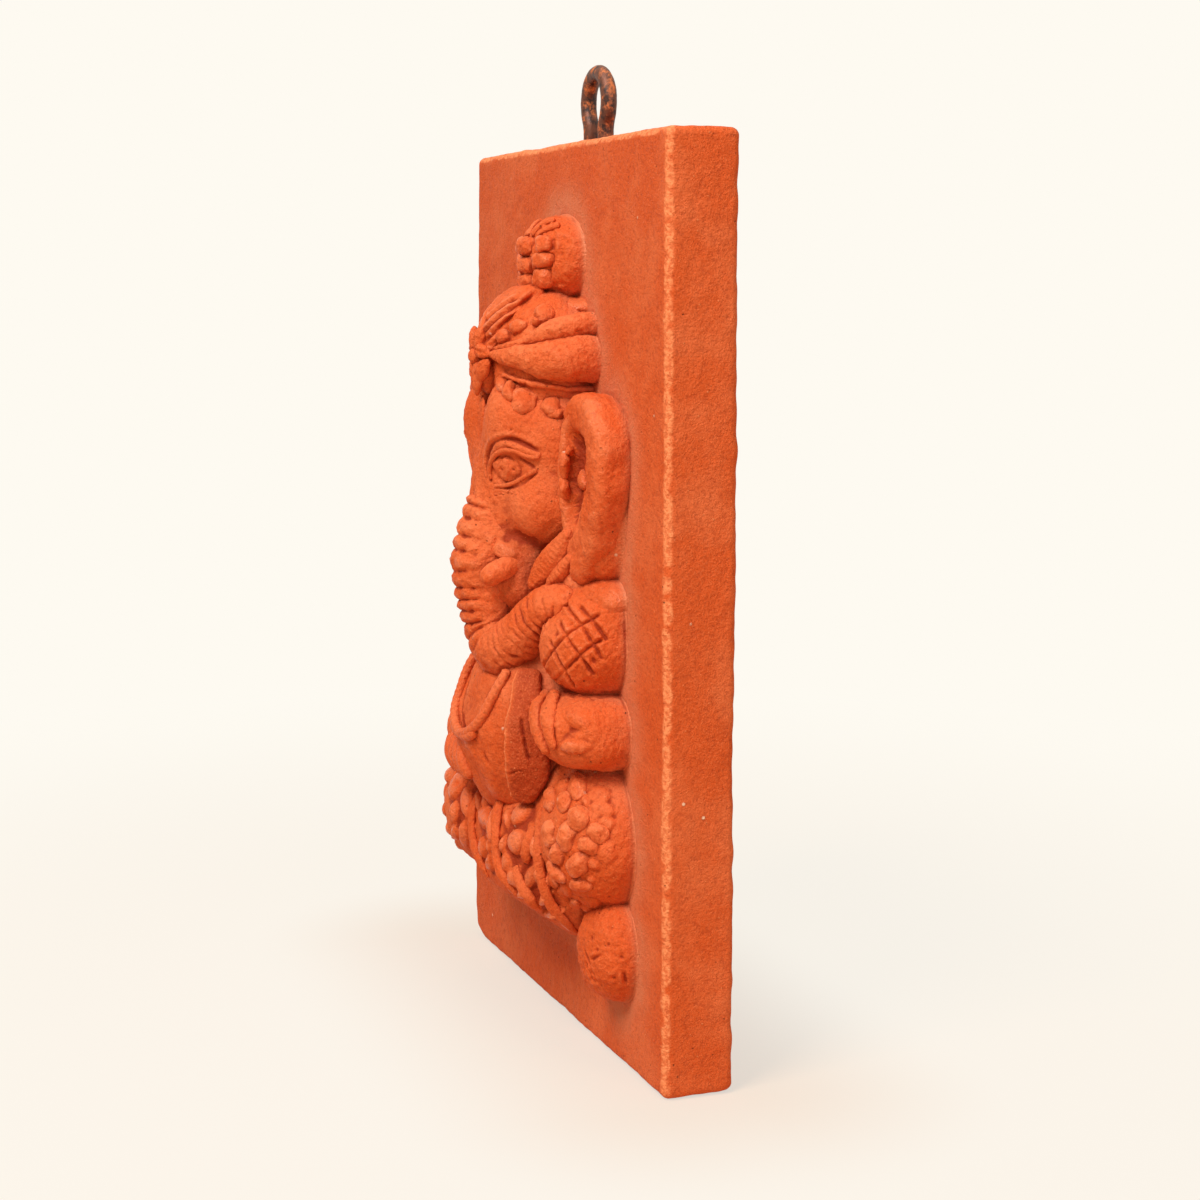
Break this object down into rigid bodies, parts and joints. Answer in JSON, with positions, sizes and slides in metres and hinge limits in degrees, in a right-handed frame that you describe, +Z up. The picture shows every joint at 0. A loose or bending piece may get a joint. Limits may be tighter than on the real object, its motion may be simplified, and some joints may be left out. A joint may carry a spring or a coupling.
{
  "type": "wall plaque",
  "caption": "Terracotta plaque with a seated elephant-headed figure in high relief on a plain slab, hung from an iron wire loop.",
  "frame": {"origin": "middle of the slab's bottom edge face", "axes": "+X to the viewer's right, +Y into the wall, +Z up along the slab"},
  "size_m": [0.13, 0.0428, 0.217],
  "materials": {
    "terracotta": "matt unglazed fired clay",
    "iron": "rusted wire"
  },
  "bodies": {
    "root": {"back_slab": "terracotta", "hanging_loop": "iron", "torso": "terracotta", "head": "terracotta", "turban_cap": "terracotta", "topknot": "terracotta", "topknot_braid": "terracotta", "topknot_collar": "terracotta", "turban_crest": "terracotta", "right_lower_fold": "terracotta", "left_lower_fold": "terracotta", "right_upper_fold": "terracotta", "left_upper_fold": "terracotta", "turban_rim": "terracotta", "right_turban_beads": "terracotta", "left_turban_beads": "terracotta", "turban_brooch": "terracotta", "right_brow_beads": "terracotta", "left_brow_beads": "terracotta", "forehead_mark": "terracotta", "right_eye": "terracotta", "left_eye": "terracotta", "right_eyelids": "terracotta", "left_eyelids": "terracotta", "right_tusk": "terracotta", "left_tusk": "terracotta", "trunk": "terracotta", "right_ear": "terracotta", "left_ear": "terracotta", "right_earring": "terracotta", "left_earring": "terracotta", "right_shawl": "terracotta", "left_shawl": "terracotta", "right_upper_arm": "terracotta", "left_upper_arm": "terracotta", "left_forearm": "terracotta", "left_hand": "terracotta", "right_hand": "terracotta", "sweet": "terracotta", "necklace": "terracotta", "right_sash_end": "terracotta", "lap_cloth": "terracotta", "lap_pleats": "terracotta", "left_leg": "terracotta", "right_knee": "terracotta", "right_knee_pellets": "terracotta", "right_foot": "terracotta"}
  },
  "joints": []
}
